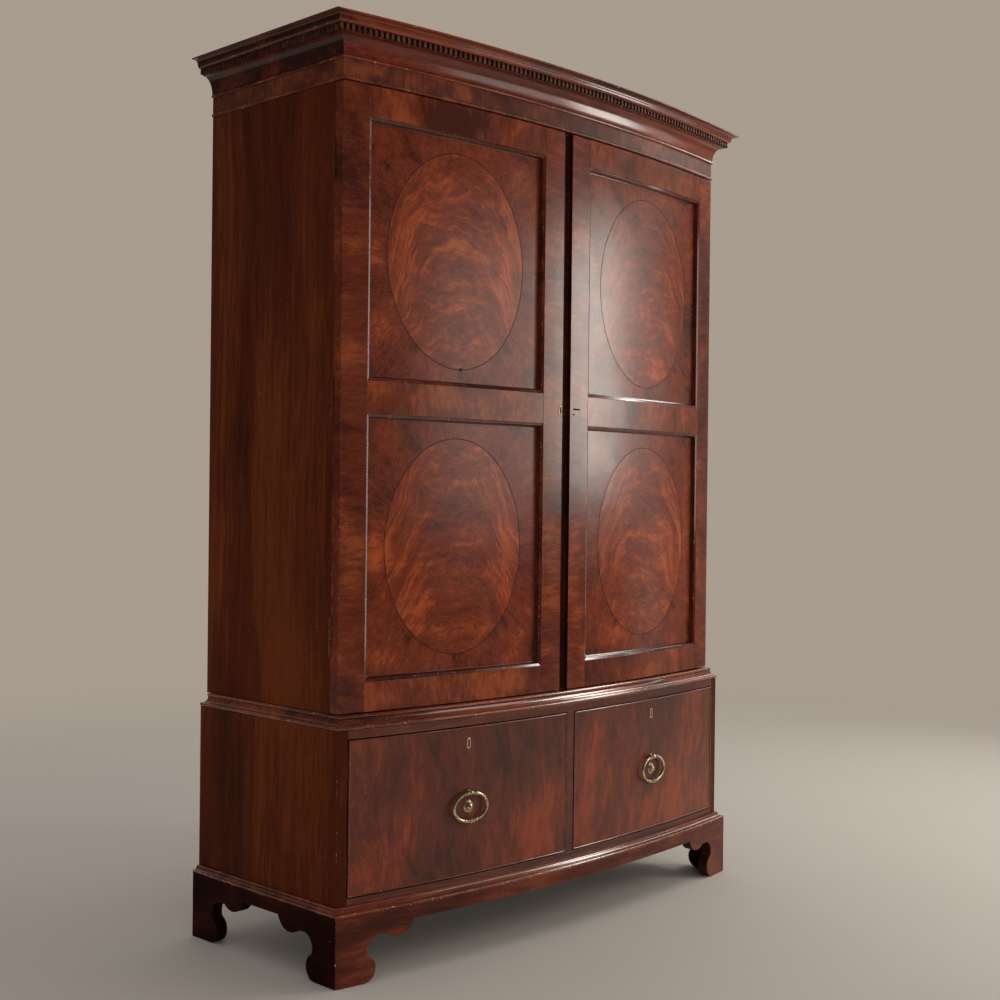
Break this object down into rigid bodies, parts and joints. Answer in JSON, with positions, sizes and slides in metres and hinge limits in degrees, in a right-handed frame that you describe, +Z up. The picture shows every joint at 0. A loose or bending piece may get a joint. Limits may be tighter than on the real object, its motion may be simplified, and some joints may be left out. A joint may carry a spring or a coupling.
{
  "type": "wardrobe",
  "caption": "Bow-front mahogany wardrobe with panelled, hinged doors above deep drawers with ring pulls, under a dentil cornice and on a bracket-foot plinth.",
  "frame": {"origin": "on the floor, under the middle of the overall box", "axes": "+X to the right seen from the front, -Y towards the front, +Z up"},
  "size_m": [1.478, 0.61, 2.1],
  "materials": {
    "case_wood": "polished dark mahogany",
    "figured_wood": "polished figured mahogany veneer",
    "moulded_wood": "polished mahogany mouldings",
    "inside_wood": "bare softwood",
    "brass": "aged brass"
  },
  "bodies": {
    "case": {"plinth_front": "case_wood", "plinth_left": "case_wood", "plinth_right": "case_wood", "base_side_left": "case_wood", "base_side_right": "case_wood", "base_bottom": "case_wood", "base_top": "case_wood", "base_back": "inside_wood", "drawer_divider": "case_wood", "waist_moulding": "moulded_wood", "cupboard_side_left": "case_wood", "cupboard_side_right": "case_wood", "cupboard_floor": "inside_wood", "cupboard_top": "inside_wood", "cupboard_back": "inside_wood", "hanging_rail": "brass", "cornice_frieze": "case_wood", "cornice_moulding": "moulded_wood", "dentil_course": "moulded_wood", "cornice_dust_board": "inside_wood", "left_top_hinge_case_leaf": "brass", "left_middle_hinge_case_leaf": "brass", "left_bottom_hinge_case_leaf": "brass", "right_top_hinge_case_leaf": "brass", "right_middle_hinge_case_leaf": "brass", "right_bottom_hinge_case_leaf": "brass"},
    "left_door": {"left_door_hinge_stile": "figured_wood", "left_door_meeting_stile": "figured_wood", "left_door_top_rail": "figured_wood", "left_door_lock_rail": "figured_wood", "left_door_bottom_rail": "figured_wood", "left_door_upper_panel": "figured_wood", "left_door_lower_panel": "figured_wood", "left_top_hinge_door_leaf": "brass", "left_middle_hinge_door_leaf": "brass", "left_bottom_hinge_door_leaf": "brass"},
    "left_drawer": {"left_drawer_front": "figured_wood", "left_drawer_inner_side": "inside_wood", "left_drawer_outer_side": "inside_wood", "left_drawer_back": "inside_wood", "left_drawer_bottom": "inside_wood", "left_pull_post": "brass"},
    "left_pull": {"left_pull_ring": "brass"},
    "right_door": {"right_door_hinge_stile": "figured_wood", "right_door_meeting_stile": "figured_wood", "right_door_top_rail": "figured_wood", "right_door_lock_rail": "figured_wood", "right_door_bottom_rail": "figured_wood", "right_door_upper_panel": "figured_wood", "right_door_lower_panel": "figured_wood", "right_top_hinge_door_leaf": "brass", "right_middle_hinge_door_leaf": "brass", "right_bottom_hinge_door_leaf": "brass"},
    "right_drawer": {"right_drawer_front": "figured_wood", "right_drawer_inner_side": "inside_wood", "right_drawer_outer_side": "inside_wood", "right_drawer_back": "inside_wood", "right_drawer_bottom": "inside_wood", "right_pull_post": "brass"},
    "right_pull": {"right_pull_ring": "brass"}
  },
  "joints": [
    {"name": "left_door_hinge", "type": "hinge", "parent": "case", "child": "left_door", "pos_m": [-0.679, -0.15982, 1.27575], "axis": [0, 0, -1], "range_deg": [0, 170]},
    {"name": "right_door_hinge", "type": "hinge", "parent": "case", "child": "right_door", "pos_m": [0.679, -0.15982, 1.27575], "axis": [0, 0, 1], "range_deg": [0, 170]},
    {"name": "left_drawer_slide", "type": "slide", "parent": "case", "child": "left_drawer", "axis": [0, -1, 0], "range_m": [0, 0.36]},
    {"name": "left_pull_swing", "type": "hinge", "parent": "left_drawer", "child": "left_pull", "pos_m": [-0.34175, -0.26464, 0.3773], "axis": [-0.9965, 0.0839, 0], "range_deg": [0, 90]},
    {"name": "right_drawer_slide", "type": "slide", "parent": "case", "child": "right_drawer", "axis": [0, -1, 0], "range_m": [0, 0.36]},
    {"name": "right_pull_swing", "type": "hinge", "parent": "right_drawer", "child": "right_pull", "pos_m": [0.34175, -0.26464, 0.3773], "axis": [-0.9965, -0.0839, 0], "range_deg": [0, 90]}
  ]
}
